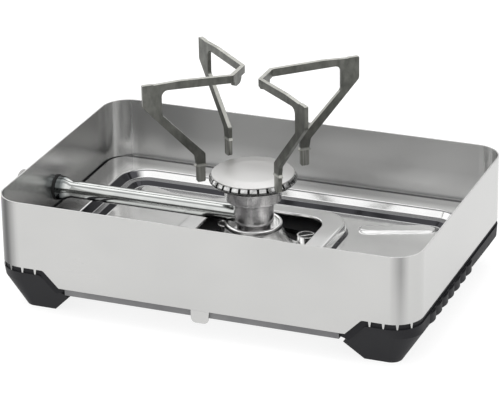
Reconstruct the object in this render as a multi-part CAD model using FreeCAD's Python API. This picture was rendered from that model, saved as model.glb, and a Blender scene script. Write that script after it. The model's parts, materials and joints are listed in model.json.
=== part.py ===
"""Table-top camping stove: an open steel box on moulded end pieces, with a drip tray,
a burner fed through a horizontal mixing tube, a valve outside the left wall and two
lift-off pot supports.

Millimetres. +Z is up and z = 0 is the surface the stove stands on. The origin lies on the
burner's axis, in the middle of the box. The front is -Y and the fuel valve is at -X.
"""
import FreeCAD, Part
import math
import os

V = FreeCAD.Vector
UP = V(0, 0, 1)

# ---------------------------------------------------------------- driving dimensions
FIT = 0.05                  # radial clearance of a shaft in its hole
ROOM = 0.3                  # clearance between curved faces that pass each other

# Box
BOX_LENGTH = 400.0
BOX_WIDTH = 269.0
BOX_CORNER = 26.0
SHEET = 1.2
RIM_Z = 108.9
LONG_EDGE_Z = 29.9          # lower edge of the front and back walls
SHORT_EDGE_Z = 45.2         # raised lower edge over the end pieces
CUT_START_X = 136.6         # where the lower edge starts to rise at 45 degrees

# Bottom pan
PAN_Z = 23.7
PAN_SHEET = 1.0
PAN_HALF_LENGTH = 131.1

# Drip tray
TRAY_SHEET = 0.8
TRAY_TOP_Z = 50.2
TRAY_FLOOR_Z = 38.7
BASIN_RIM = (174.0, 110.0, 30.0)                    # half length, half width, corner radius
BASIN_PROFILE = ((0.0, 0.0), (2.2, 0.25), (4.0, 1.0), (8.0, 5.4), (9.6, 6.2),
                 (14.6, 6.7), (16.2, 7.5), (18.8, 10.7), (20.4, 11.5))   # (inset, depth) from the rim
ISLAND_FOOT = (76.0, 72.2, 32.0)
ISLAND_PROFILE = ((0.0, 0.0), (1.4, 1.0), (3.6, 9.4), (4.6, 10.9), (6.4, 11.5))   # (inset, height)
OPENING_HALF_X = 54.0
OPENING_HALF_Y = 52.0
OPENING_CORNER = 21.0

# Burner
TUBE_AXIS_Z = 66.7
TUBE_RADIUS = 8.25
TUBE_WALL = 1.0
BELL_RADIUS = 11.7
COLUMN_RADIUS = 18.5
COLUMN_Z = 62.2             # lower edge of the column's full diameter
CUP_RADIUS = 29.0
CUP_Z = 92.2
FLAME_RING_Z = 101.9
FLAME_RING_RADIUS = 40.6
FLAME_PORTS = 29
CAP_RADIUS = 38.2
CAP_Z = 108.4
CAP_TOP_Z = 110.9

# Cone that carries the burner
CONE_SEAT_Z = 54.0
CONE_RING_Z = 61.2

# Pot supports, shown lifted clear of their sockets
PLATE = 3.8
SUPPORT_CORNER_X = 13.8     # bend between the arm and the cross bar
SUPPORT_CORNER_Y = 13.4
ARM_ANGLE = 40.4            # degrees from the box's length
ARM_LENGTH = 84.3
PIN_DISTANCE = 31.2         # along the arm, from the bend to the pin
PIN_BOTTOM_Z = 109.1
PIN_LENGTH = 15.0
PIN_WIDTH = 8.0
EAR_WIDTH = 11.8
SHANK_WIDTH = 8.6           # upright stretch between the slanted arm and the ears
SUPPORT_TOP = 99.6          # height of the arm's tip over the pin's bottom
BAR_TOP = 98.4
BAR_DEPTH = 7.2
SOCKET_RADIUS = 8.7
SOCKET_BORE = 7.3
SOCKET_BAR = 1.6
SOCKET_OFFSET = 3.5         # the pin stands beside the socket's cross bar
SOCKET_TOP_Z = PAN_Z + PAN_SHEET + 0.5 + PIN_LENGTH

# End pieces
BAND_Z = 30.0
BAND_TOP_Z = 40.2
FOOT_SIDE_TAPER = 19.4
FOOT_FRONT_TAPER = 17.5
FOOT_FRONT_TIP_X = 131.5
FOOT_SOLE_X = 148.9
FOOT_SIDE_Y = -88.0
MOULDING = 3.0
RIB_COUNT = 7
RIB_PITCH = 17.5
RIB_START_Y = -90.8
RIB_HEIGHT = 1.8
PAD_THICKNESS = 2.0

# Valve group, outside the left wall
VALVE_X = -211.0
VALVE_LENGTH = 14.0
KNOB_RADIUS = 12.2
KNOB_X = -229.2
KNOB_LENGTH = 8.0
SPINDLE_RADIUS = 2.5
INLET_RADIUS = 4.8
INLET_X = -218.0


# ---------------------------------------------------------------- shape helpers
def xz_plane(u, w):
    return V(u, 0, w)


def yz_plane(u, w):
    return V(0, u, w)


def xy_plane(u, w):
    return V(u, w, 0)


def outline(corners, plane):
    """Closed wire through (u, w, radius) corners, each rounded by its own radius."""
    count = len(corners)
    edges = []
    ends = []
    for i, (u, w, radius) in enumerate(corners):
        here = V(u, w, 0)
        before = V(corners[i - 1][0], corners[i - 1][1], 0) - here
        after = V(corners[(i + 1) % count][0], corners[(i + 1) % count][1], 0) - here
        before.normalize()
        after.normalize()
        if radius <= 0:
            ends.append((here, None, here))
            continue
        half = before.getAngle(after) / 2
        bisector = before + after
        bisector.normalize()
        reach = radius / math.tan(half)
        centre = here + bisector * (radius / math.sin(half))
        ends.append((here + before * reach, centre - bisector * radius, here + after * reach))
    for i, (start, middle, stop) in enumerate(ends):
        if middle is not None:
            points = [plane(p.x, p.y) for p in (start, middle, stop)]
            edges.append(Part.Arc(*points).toShape())
        following = ends[(i + 1) % count][0]
        if stop.distanceToPoint(following) > 1e-6:
            edges.append(Part.LineSegment(plane(stop.x, stop.y), plane(following.x, following.y)).toShape())
    return Part.Wire(edges)


def slab(corners, plane, start, depth, direction):
    """Outline filled and extruded by depth, starting at start along direction."""
    face = Part.Face(outline(corners, plane))
    face.translate(direction * start)
    return face.extrude(direction * depth)


def across_y(corners, low=-BOX_WIDTH, high=BOX_WIDTH):
    return slab(corners, xz_plane, low, high - low, V(0, 1, 0))


def across_x(corners, low, high):
    return slab(corners, yz_plane, low, high - low, V(1, 0, 0))


def upright(corners, low, high):
    return slab(corners, xy_plane, low, high - low, UP)


def turned(corners):
    """Solid of revolution about Z from (radius, z, fillet) corners."""
    return Part.Face(outline(corners, xz_plane)).revolve(V(0, 0, 0), UP, 360)


def turned_x(corners, axis_z=TUBE_AXIS_Z):
    """Solid of revolution about the X line at height axis_z, from (x, radius, fillet)."""
    solid = Part.Face(outline(corners, xz_plane)).revolve(V(0, 0, 0), V(1, 0, 0), 360)
    solid.translate(V(0, 0, axis_z))
    return solid


def rectangle(half_x, half_y, radius, grow=0.0):
    reach_x, reach_y = half_x + grow, half_y + grow
    rounding = max(radius + grow, 0.5)
    signs = ((-1, -1), (1, -1), (1, 1), (-1, 1))
    return [(sx * reach_x, sy * reach_y, rounding) for sx, sy in signs]


def lofted(sections):
    """Ruled solid through (corners, z) sections with the same number of corners."""
    wires = []
    for corners, z in sections:
        wire = outline(corners, xy_plane)
        wire.translate(V(0, 0, z))
        wires.append(wire)
    return Part.makeLoft(wires, True, True)


def cylinder(radius, height, base, direction=UP):
    return Part.makeCylinder(radius, height, base, direction)


def block(x, y, z):
    """Box between (low, high) pairs."""
    return Part.makeBox(x[1] - x[0], y[1] - y[0], z[1] - z[0], V(x[0], y[0], z[0]))


def hexagon(across_flats, low, high):
    """Upright hexagonal prism on the Z axis."""
    reach = across_flats / math.sqrt(3)
    corners = [(reach * math.cos(a), reach * math.sin(a), 0)
               for a in (math.radians(60 * i) for i in range(6))]
    return upright(corners, low, high)


def joined(shapes):
    return shapes[0].multiFuse(shapes[1:]).removeSplitter()


def mirrored_x(shape):
    return shape.mirror(V(0, 0, 0), V(1, 0, 0))


def mirrored_y(shape):
    return shape.mirror(V(0, 0, 0), V(0, 1, 0))


def four_corners(shape):
    """The shape and its mirror images in the other three quarters."""
    pair = [shape, mirrored_x(shape)]
    return pair + [mirrored_y(s) for s in pair]


def turned_about_z(shape, degrees, centre=V(0, 0, 0)):
    copy = shape.copy()
    copy.rotate(centre, UP, degrees)
    return copy


# ---------------------------------------------------------------- box
def box_rectangle(inset=0.0):
    return rectangle(BOX_LENGTH / 2, BOX_WIDTH / 2, BOX_CORNER, -inset)


def wall_tooth():
    """Small tapered tab that locates the raised edge in the end piece, at the origin."""
    root, tip, height, bury = 1.3, 0.6, 4.8, 1.0
    corners = [(-root, bury, 0), (-root, 0, 0), (-tip, -height, 0), (tip, -height, 0),
               (root, 0, 0), (root, bury, 0)]
    return slab(corners, xz_plane, 0, SHEET, V(0, 1, 0))


def corner_teeth():
    """Teeth round one front corner, two on the front wall and two on the bend."""
    teeth = []
    for x in (159.5, 172.0):
        tooth = wall_tooth()
        tooth.translate(V(x, -BOX_WIDTH / 2, SHORT_EDGE_Z))
        teeth.append(tooth)
    centre = V(BOX_LENGTH / 2 - BOX_CORNER, -BOX_WIDTH / 2 + BOX_CORNER, 0)
    for degrees in (23, 52):
        tooth = wall_tooth()
        tooth.translate(V(centre.x, -BOX_WIDTH / 2, SHORT_EDGE_Z))
        teeth.append(turned_about_z(tooth, degrees, centre))
    return teeth


def outer_wall():
    rise = SHORT_EDGE_Z - LONG_EDGE_Z
    shell = upright(box_rectangle(), LONG_EDGE_Z, RIM_Z).cut(
        upright(box_rectangle(SHEET), LONG_EDGE_Z - 1, RIM_Z + 1))
    end = across_y([(CUT_START_X - 10, LONG_EDGE_Z - 10, 0), (CUT_START_X + rise, SHORT_EDGE_Z, 4),
                    (BOX_LENGTH, SHORT_EDGE_Z, 0), (BOX_LENGTH, LONG_EDGE_Z - 10, 0)])
    shell = shell.cut(end).cut(mirrored_x(end))
    teeth = []
    for tooth in corner_teeth():
        teeth += four_corners(tooth)
    shell = joined([shell] + teeth)
    air_hole = cylinder(BELL_RADIUS - 1.2, 20, V(-BOX_LENGTH / 2 - 10, 0, TUBE_AXIS_Z), V(1, 0, 0))
    return shell.cut(air_hole)


def front_catch():
    """Pressed tab under the middle of the front wall."""
    half, drop, lip = 8.8, 11.2, 6.0
    corners = [(-half, 0, 0), (-half + 0.8, -drop, 5), (half - 0.8, -drop, 4), (half, 0, 0)]
    tab = slab(corners, xz_plane, 0, 1.5, V(0, 1, 0))
    hook = block((-half + 3, half - 3), (0.8, 3.2), (-drop + 2.4, -drop + 4.6))
    foot = joined([tab, hook])
    foot.rotate(V(0, 0, 0), V(1, 0, 0), -8)
    foot.translate(V(1.0, -BOX_WIDTH / 2, LONG_EDGE_Z))
    root = block((1.0 - half + lip / 2, 1.0 + half - lip / 2),
                 (-BOX_WIDTH / 2 + SHEET - 0.2, -BOX_WIDTH / 2 + SHEET),
                 (LONG_EDGE_Z - 1.5, LONG_EDGE_Z))
    wall_y, above = -BOX_WIDTH / 2, LONG_EDGE_Z + 5
    clear_of_wall = block((-20, 20), (wall_y - 5, wall_y + 10), (LONG_EDGE_Z, above))
    clear_of_pan = block((-20, 20), (wall_y + SHEET, wall_y + 10), (PAN_Z, above))
    return joined([foot, root]).cut(clear_of_wall).cut(clear_of_pan)


# ---------------------------------------------------------------- pan and tray
def bottom_pan():
    """Folded pan: floor, front and back flanges against the wall, and raised end tongues."""
    top = 43.0
    reach = BOX_WIDTH / 2 - SHEET
    floor = block((-PAN_HALF_LENGTH, PAN_HALF_LENGTH), (-reach, reach), (PAN_Z, PAN_Z + PAN_SHEET))
    flange = across_y([(-PAN_HALF_LENGTH, PAN_Z, 2), (PAN_HALF_LENGTH, PAN_Z, 2),
                       (PAN_HALF_LENGTH, top, 3), (-PAN_HALF_LENGTH, top, 3)],
                      -reach, -reach + PAN_SHEET)
    ramp_end_x, ledge_z, ledge_x = 143.0, 35.6, 188.0
    skin = PAN_SHEET
    tongue = across_y([(PAN_HALF_LENGTH - 2, PAN_Z, 0), (PAN_HALF_LENGTH, PAN_Z, 0),
                       (ramp_end_x, ledge_z, 0), (ledge_x, ledge_z, 0),
                       (ledge_x, ledge_z + skin, 0), (ramp_end_x - 0.4 * skin, ledge_z + skin, 0),
                       (PAN_HALF_LENGTH - 0.4 * skin, PAN_Z + skin, 0),
                       (PAN_HALF_LENGTH - 2, PAN_Z + skin, 0)], -80, 80)
    pan = joined([floor, flange, mirrored_y(flange), tongue, mirrored_x(tongue)])
    for x, y in end_screw_places():
        pan = pan.cut(cylinder(2.0 + FIT, 10, V(x, y, ledge_z - 5)))
    for x, y in cone_screw_places():
        pan = pan.cut(cylinder(1.5 + FIT, 10, V(x, y, PAN_Z - 5)))
    return pan


def tray_basin(grow=0.0, drop=0.0):
    """The basin pressed into the tray, as a solid; grow and drop give its outer skin."""
    rim_x, rim_y, rim_corner = BASIN_RIM
    sections = []
    for inset, depth in BASIN_PROFILE:
        z = TRAY_TOP_Z - depth - (drop if depth else 0.0)
        sections.append((rectangle(rim_x, rim_y, rim_corner, grow - inset), z))
    return lofted(sections)


def tray_island(shrink=0.0, drop=0.0):
    """Raised border round the opening; its top is level with the tray's flange."""
    foot_x, foot_y, foot_corner = ISLAND_FOOT
    return lofted([(rectangle(foot_x, foot_y, foot_corner, -inset - shrink), TRAY_FLOOR_Z + rise - drop)
                   for inset, rise in ISLAND_PROFILE])


def tray_rib():
    """Raised stiffening rib that runs out to a corner of the basin."""
    length, half_width, height, degrees = 74.0, 7.4, 1.8, 20.0
    corners = [(0, -half_width, 6.8), (length, -half_width + 1, 4), (length, half_width - 1, 4),
               (0, half_width, 6.8)]
    rib = upright(corners, 0, height + 0.3)
    rib = turned_about_z(rib, degrees)
    rib.translate(V(80.5, 60.0, TRAY_FLOOR_Z - 0.3))
    return rib


def drip_tray():
    skin = TRAY_SHEET
    flange = upright(box_rectangle(SHEET), TRAY_TOP_Z - skin, TRAY_TOP_Z)
    tray = flange.fuse(tray_basin(skin, skin))
    tray = tray.cut(tray_basin()).fuse(tray_island())
    tray = tray.cut(tray_island(skin, skin))
    lip = upright(rectangle(OPENING_HALF_X, OPENING_HALF_Y, OPENING_CORNER, skin),
                  TRAY_TOP_Z - 2.6, TRAY_TOP_Z)
    tray = tray.fuse(lip)
    for rib in four_corners(tray_rib()):
        tray = tray.fuse(rib)
    opening = upright(rectangle(OPENING_HALF_X, OPENING_HALF_Y, OPENING_CORNER),
                      TRAY_FLOOR_Z - 5, TRAY_TOP_Z + 5)
    return tray.cut(opening).removeSplitter()


# ---------------------------------------------------------------- burner base
def cone_screw_places():
    return [(66.0 * math.cos(a), 66.0 * math.sin(a))
            for a in (math.radians(d) for d in (0, 90, 180, 270))]


def arm_direction():
    angle = math.radians(ARM_ANGLE)
    return V(math.cos(angle), math.sin(angle), 0)


def pin_place():
    return V(SUPPORT_CORNER_X, SUPPORT_CORNER_Y, 0) + arm_direction() * PIN_DISTANCE


def socket_centre():
    along = arm_direction()
    return pin_place() + V(along.y, -along.x, 0) * SOCKET_OFFSET


def burner_base_cone():
    """Spun cone with a rolled rim; its recessed seat carries the burner column."""
    base = PAN_Z + PAN_SHEET
    cone = turned([(6.2, CONE_SEAT_Z, 0), (23.2, CONE_SEAT_Z, 0), (23.2, CONE_RING_Z, 1.55),
                   (26.4, CONE_RING_Z, 1.55), (26.6, 57.0, 3), (33.5, 36.0, 42), (61.5, base + 1, 0),
                   (70.0, base + 1, 0), (70.0, base, 0), (61.2, base, 0), (32.6, 35.2, 42),
                   (25.4, 57.0, 0), (25.4, 58.6, 0), (24.2, 58.6, 0), (24.2, CONE_SEAT_Z - 1, 0),
                   (6.2, CONE_SEAT_Z - 1, 0)])
    tube_notch = cylinder(TUBE_RADIUS + 0.6, 60, V(-70, 0, TUBE_AXIS_Z), V(1, 0, 0))
    cone = cone.cut(tube_notch)
    centre = socket_centre()
    hole = cylinder(SOCKET_RADIUS + ROOM, 60, V(centre.x, centre.y, 0))
    for cutter in four_corners(hole):
        cone = cone.cut(cutter)
    for x, y in cone_screw_places():
        cone = cone.cut(cylinder(1.5 + FIT, 10, V(x, y, base - 5)))
    return cone


def support_sockets():
    """Four standing sockets, each with a cross bar beside the pin's slot."""
    base = PAN_Z + PAN_SHEET
    centre = socket_centre()
    tube = cylinder(SOCKET_RADIUS, SOCKET_TOP_Z - base, V(centre.x, centre.y, base))
    bore = cylinder(SOCKET_BORE, SOCKET_TOP_Z, V(centre.x, centre.y, base - 1))
    bar = block((-SOCKET_BORE - 0.5, SOCKET_BORE + 0.5), (-SOCKET_BAR / 2, SOCKET_BAR / 2),
                (SOCKET_TOP_Z - 4, SOCKET_TOP_Z - 0.4))
    bar = turned_about_z(bar, ARM_ANGLE)
    bar.translate(centre)
    socket = tube.cut(bore).fuse(bar).removeSplitter()
    return Part.Compound(four_corners(socket))


def pan_head_screw(radius, head, head_height, shank, point, upward=True):
    """Screw whose head sits at point, with the shank along +Z or -Z."""
    sign = 1 if upward else -1
    crown = turned([(0, -head_height, 0), (head, -head_height, head_height * 0.6), (head, 0, 0),
                    (radius, 0, 0), (radius, shank, 0.3), (0, shank, 0)])
    slot = block((-head, head), (-0.5, 0.5), (-head_height - 1, -head_height + 0.9))
    screw = crown.cut(slot)
    if sign < 0:
        screw.rotate(V(0, 0, 0), V(1, 0, 0), 180)
    screw.translate(point)
    return screw


def cone_screws():
    base = PAN_Z + PAN_SHEET + 1.0
    return Part.Compound([pan_head_screw(1.5, 3.0, 1.8, 4.5, V(x, y, base), False)
                          for x, y in cone_screw_places()])


# ---------------------------------------------------------------- burner
def burner_column():
    column = turned([(0, CONE_SEAT_Z - 12, 0), (6.0, CONE_SEAT_Z - 12, 0.8), (6.0, CONE_SEAT_Z, 0),
                     (15.5, CONE_SEAT_Z, 0), (15.5, COLUMN_Z, 0), (COLUMN_RADIUS, COLUMN_Z, 0.8),
                     (COLUMN_RADIUS, 84.0, 0), (15.0, 84.0, 0), (15.0, 92.0, 0.5), (12.5, 92.0, 0),
                     (12.5, 58.0, 2), (0, 58.0, 0)])
    inlet = cylinder(TUBE_RADIUS + FIT, 60, V(-70, 0, TUBE_AXIS_Z), V(1, 0, 0))
    return column.cut(inlet)


def column_nut():
    nut = hexagon(18.0, CONE_SEAT_Z - 8.0, CONE_SEAT_Z - 1.0)
    return nut.cut(cylinder(6.0 + FIT, 40, V(0, 0, CONE_SEAT_Z - 20)))


def burner_cup():
    return turned([(15.0 + FIT, 84.0, 0), (COLUMN_RADIUS + 0.6, 84.0, 0), (COLUMN_RADIUS + 0.6, 86.0, 1.5),
                   (CUP_RADIUS, CUP_Z, 1.6), (CUP_RADIUS, FLAME_RING_Z, 0), (27.2, FLAME_RING_Z, 0),
                   (27.2, 94.0, 3), (18.0, 89.0, 0), (15.0 + FIT, 89.0, 0)])


def flame_ring():
    """Toothed ring: the gaps between its teeth are the burner's ports."""
    root, seat_z, port_z, port_width = 31.0, 99.4, 104.2, 2.2
    ring = turned([(25.4, seat_z, 0), (27.0, seat_z, 0), (27.0, FLAME_RING_Z, 0),
                   (FLAME_RING_RADIUS - 1.4, FLAME_RING_Z, 0.4), (FLAME_RING_RADIUS, port_z - 0.4, 0.6),
                   (FLAME_RING_RADIUS, port_z + 1.4, 1.2), (FLAME_RING_RADIUS - 1.6, CAP_Z - 0.1, 0),
                   (root, CAP_Z - 0.1, 0), (root, port_z, 0), (25.4, port_z, 0)])
    slot = block((root - 4, FLAME_RING_RADIUS + 5), (-port_width / 2, port_width / 2),
                 (port_z, CAP_Z + 2))
    slots = [turned_about_z(slot, 360.0 * i / FLAME_PORTS) for i in range(FLAME_PORTS)]
    return ring.cut(Part.Compound(slots))


def burner_cap():
    skirt_in, skirt_out, skirt_z = 27.0, 29.8, 104.4
    dome = turned([(0, CAP_Z, 0), (CAP_RADIUS, CAP_Z, 0), (CAP_RADIUS, CAP_Z + 1.2, 0.5),
                   (26.0, CAP_TOP_Z - 0.3, 40), (0, CAP_TOP_Z, 0)])
    skirt = turned([(skirt_in, skirt_z, 0), (skirt_out, skirt_z, 0.5), (skirt_out, CAP_Z, 0),
                    (skirt_in, CAP_Z, 0)])
    return joined([dome, skirt])


def mixing_tube():
    """Straight tube with a bell at the wall; its far end is held in the column."""
    mouth = -BOX_LENGTH / 2 + SHEET + 1.2
    inner = TUBE_RADIUS - TUBE_WALL
    return turned_x([(mouth, BELL_RADIUS, 1.0), (mouth + 6.5, BELL_RADIUS - 0.3, 7),
                     (mouth + 13.5, TUBE_RADIUS, 10), (-11.0, TUBE_RADIUS, 0), (-11.0, inner, 0),
                     (mouth + 13.5, inner, 9), (mouth + 6.5, BELL_RADIUS - 1.4, 6),
                     (mouth, BELL_RADIUS - 1.1, 0)])


def tube_gasket():
    outside = -BOX_LENGTH / 2 + SHEET
    return turned_x([(outside, BELL_RADIUS + 0.5, 0), (outside + 1.2, BELL_RADIUS + 0.5, 0),
                     (outside + 1.2, BELL_RADIUS - 1.2, 0), (outside, BELL_RADIUS - 1.2, 0)])


# ---------------------------------------------------------------- valve group
def injector_holder():
    """Cage outside the wall that holds the valve and lets primary air in."""
    wall_x, bore = -BOX_LENGTH / 2, BELL_RADIUS - 1.2
    cage = turned_x([(wall_x, 18.0, 0), (wall_x - 2.2, 18.0, 0.8), (wall_x - 2.2, 12.6, 0),
                     (VALVE_X, 12.6, 1.0), (VALVE_X, 4.9 + FIT, 0), (VALVE_X + 2.5, 4.9 + FIT, 0),
                     (VALVE_X + 2.5, bore, 0), (wall_x, bore, 0)])
    window = block((VALVE_X + 4.0, wall_x - 4.0), (-4.5, 4.5), (8.0, 16.0))
    for degrees in (45, 135, 225, 315):
        cutter = window.copy()
        cutter.rotate(V(0, 0, 0), V(1, 0, 0), degrees)
        cutter.translate(V(0, 0, TUBE_AXIS_Z))
        cage = cage.cut(cutter)
    return cage


def valve_body():
    end_x = VALVE_X - VALVE_LENGTH
    body = turned_x([(VALVE_X + 4.5, 4.9, 0), (VALVE_X, 4.9, 0), (VALVE_X, 9.5, 0.8),
                     (end_x, 9.5, 0.8), (end_x, 0, 0), (VALVE_X + 4.5, 0, 0)])
    boss = cylinder(6.5, 13, V(INLET_X, 0, TUBE_AXIS_Z - 13))
    body = body.fuse(boss)
    gas_way = cylinder(1.6, VALVE_LENGTH, V(VALVE_X - 8, 0, TUBE_AXIS_Z), V(1, 0, 0))
    spindle_bore = cylinder(SPINDLE_RADIUS + FIT, 9, V(end_x - 1, 0, TUBE_AXIS_Z), V(1, 0, 0))
    inlet_bore = cylinder(3.6 + FIT, 20, V(INLET_X, 0, TUBE_AXIS_Z - 20))
    return body.cut(gas_way).cut(spindle_bore).cut(inlet_bore).removeSplitter()


def injector_jet():
    start = VALVE_X + 4.5
    jet = turned_x([(start, 0, 0), (start, 4.2, 0.4), (start + 3, 4.2, 0), (start + 3, 2.6, 0),
                    (start + 7.5, 1.6, 0.3), (start + 7.5, 0, 0)])
    return jet.cut(cylinder(0.35, 30, V(start - 5, 0, TUBE_AXIS_Z), V(1, 0, 0)))


def packing_nut():
    end_x = VALVE_X - VALVE_LENGTH
    nut = hexagon(12.0, 0, 3.0)
    nut = nut.cut(cylinder(SPINDLE_RADIUS + FIT, 10, V(0, 0, -2)))
    nut.rotate(V(0, 0, 0), V(0, 1, 0), -90)
    nut.translate(V(end_x, 0, TUBE_AXIS_Z))
    return nut


def valve_spindle():
    tip = VALVE_X - VALVE_LENGTH + 7.5
    return turned_x([(KNOB_X - 6.0, 0, 0), (KNOB_X - 6.0, SPINDLE_RADIUS, 0),
                     (tip - 3.0, SPINDLE_RADIUS, 0), (tip, 0.6, 0), (tip, 0, 0)])


def control_knob():
    """Round knob with finger flutes, bored for the spindle and recessed for its screw."""
    end_x = KNOB_X - KNOB_LENGTH
    knob = turned_x([(KNOB_X, 0, 0), (KNOB_X, KNOB_RADIUS, 1.2), (end_x, KNOB_RADIUS, 1.6), (end_x, 0, 0)])
    flute = cylinder(1.5, KNOB_LENGTH + 4, V(end_x - 2, 0, KNOB_RADIUS + 0.7), V(1, 0, 0))
    flutes = []
    for i in range(18):
        cutter = flute.copy()
        cutter.rotate(V(0, 0, 0), V(1, 0, 0), 20.0 * i)
        cutter.translate(V(0, 0, TUBE_AXIS_Z))
        flutes.append(cutter)
    knob = knob.cut(Part.Compound(flutes))
    knob = knob.cut(cylinder(SPINDLE_RADIUS + FIT, 7, V(KNOB_X - 6.0, 0, TUBE_AXIS_Z), V(1, 0, 0)))
    return knob.cut(cylinder(1.25 + FIT, 6, V(KNOB_X - 10.0, 0, TUBE_AXIS_Z), V(1, 0, 0)))


def knob_screw():
    screw = pan_head_screw(1.25, 2.6, 1.6, KNOB_LENGTH - 6.0, V(0, 0, 0))
    screw.rotate(V(0, 0, 0), V(0, 1, 0), 90)
    screw.translate(V(KNOB_X - KNOB_LENGTH, 0, TUBE_AXIS_Z))
    return screw


def inlet_stub():
    """Threaded stub that points down, for the fuel hose."""
    shoulder = TUBE_AXIS_Z - 13
    stub = turned([(2.0, shoulder - 20, 0), (INLET_RADIUS, shoulder - 20, 0.6),
                   (INLET_RADIUS, shoulder - 6, 0), (5.0, shoulder - 6, 0), (5.0, shoulder, 0),
                   (3.6, shoulder, 0), (3.6, shoulder + 6, 0.4), (2.0, shoulder + 6, 0)])
    collar = hexagon(12.0, shoulder - 6, shoulder).cut(cylinder(4.0, 40, V(0, 0, shoulder - 20)))
    stub = joined([stub, collar])
    stub.translate(V(INLET_X, 0, 0))
    return stub


# ---------------------------------------------------------------- pot supports
def support_arm():
    """One arm of a support in the XZ plane: the bend is at x = 0, the pin's bottom at z = 0."""
    pin, half_pin, half_ear, half_shank = PIN_DISTANCE, PIN_WIDTH / 2, EAR_WIDTH / 2, SHANK_WIDTH / 2
    ear, ear_top = PIN_LENGTH + 0.8, PIN_LENGTH + 2.6
    bar_bottom, step = BAR_TOP - BAR_DEPTH, ARM_LENGTH - 10.0
    corners = [(0, BAR_TOP, 0), (step - 25.5, BAR_TOP + 1.6, 20), (step - 0.6, BAR_TOP + 0.6, 0),
               (step, SUPPORT_TOP, 0.5), (ARM_LENGTH, SUPPORT_TOP, 1.0), (ARM_LENGTH, 78.6, 5),
               (pin + half_shank + 1.4, 26.0, 6), (pin + half_shank, ear_top, 0),
               (pin + half_ear, ear, 0.4), (pin + half_ear, PIN_LENGTH, 0),
               (pin + half_pin, PIN_LENGTH, 0), (pin + half_pin, 0, 1.6),
               (pin - half_pin, 0, 1.6), (pin - half_pin, PIN_LENGTH, 0),
               (pin - half_ear, PIN_LENGTH, 0), (pin - half_ear, ear, 0.4),
               (pin - half_shank, ear_top, 0), (pin - half_shank, 27.4, 3), (66.6, 69.6, 4),
               (66.6, bar_bottom + 1.8, 6), (0, bar_bottom, 0)]
    return slab(corners, xz_plane, -PLATE / 2, PLATE, V(0, 1, 0))


def pot_support():
    """Folded plate: a cross bar and two arms that open outwards, on the +X side."""
    arm = turned_about_z(support_arm(), ARM_ANGLE)
    arm.translate(V(SUPPORT_CORNER_X, SUPPORT_CORNER_Y, 0))
    bar_x = (SUPPORT_CORNER_X - PLATE / 2, SUPPORT_CORNER_X + PLATE / 2)
    bar_bottom = BAR_TOP - BAR_DEPTH
    bar = block(bar_x, (-SUPPORT_CORNER_Y, SUPPORT_CORNER_Y), (bar_bottom, BAR_TOP))
    bend = cylinder(PLATE / 2, BAR_DEPTH, V(SUPPORT_CORNER_X, SUPPORT_CORNER_Y, bar_bottom))
    lug = across_x([(-11.8, bar_bottom + 2, 0), (-11.8, bar_bottom - 5.4, 6), (5.0, bar_bottom - 5.4, 6),
                    (5.6, bar_bottom + 2, 0)], *bar_x)
    support = joined([bar, arm, mirrored_y(arm), bend, mirrored_y(bend), lug])
    support.translate(V(0, 0, PIN_BOTTOM_Z))
    return support


# ---------------------------------------------------------------- end pieces
def end_screw_places():
    return [(sx * 172.0, y) for sx in (-1, 1) for y in (-62.0, -22.0, 22.0, 62.0)]


def foot_sections(inset):
    """Foot outlines from the sole up: the outer faces taper in below the band."""
    top, crease, sole = BAND_TOP_Z, BAND_Z, 0.0
    crease_y = FOOT_FRONT_TAPER * (top - crease) / (top - sole)
    rows = ((sole, FOOT_SIDE_TAPER, FOOT_FRONT_TAPER, 10.0), (crease, 0.0, crease_y, 23.8),
            (top, 0.0, 0.0, BOX_CORNER))
    sections = []
    for z, side, front, radius in rows:
        right, near = BOX_LENGTH / 2 - side - inset, -BOX_WIDTH / 2 + front + inset
        left, far = 128.0 + inset, FOOT_SIDE_Y + 4.0 - inset
        corners = [(left, near, 0.6), (right, near, radius - inset), (right, far, 0.6), (left, far, 0.6)]
        sections.append((corners, z))
    return sections


def front_foot():
    """Hollow foot at the front right corner, open towards the tray."""
    solid = lofted(foot_sections(0.0))
    front_view = [(FOOT_SOLE_X, 0, 1.5), (250, 0, 0), (250, BAND_TOP_Z, 0), (155.7, BAND_TOP_Z, 2),
                  (138.0, 22.5, 2), (FOOT_FRONT_TIP_X, 17.4, 0.8)]
    side_view = [(-160.0, 0, 0), (-98.0, 0, 1.5), (FOOT_SIDE_Y, BAND_Z, 0), (FOOT_SIDE_Y + 2, BAND_TOP_Z, 0),
                 (-160.0, BAND_TOP_Z, 0)]
    front_keep, side_keep = across_y(front_view), across_x(side_view, 100, 260)
    pocket = lofted(foot_sections(MOULDING))
    pocket_keep = front_keep.common(side_keep)
    pocket_keep.translate(V(MOULDING * 1.3, -MOULDING, MOULDING))
    pocket = pocket.common(pocket_keep)
    solid = solid.common(front_keep).common(side_keep).cut(pocket)
    return solid.cut(pad_shape())


def pad_shape():
    """Rubber pad let into the sole of the front right foot."""
    return upright([(152.5, -113.5, 3), (176.5, -113.5, 6), (176.5, -101.0, 3), (152.5, -101.0, 3)],
                   0, PAD_THICKNESS)


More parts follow.
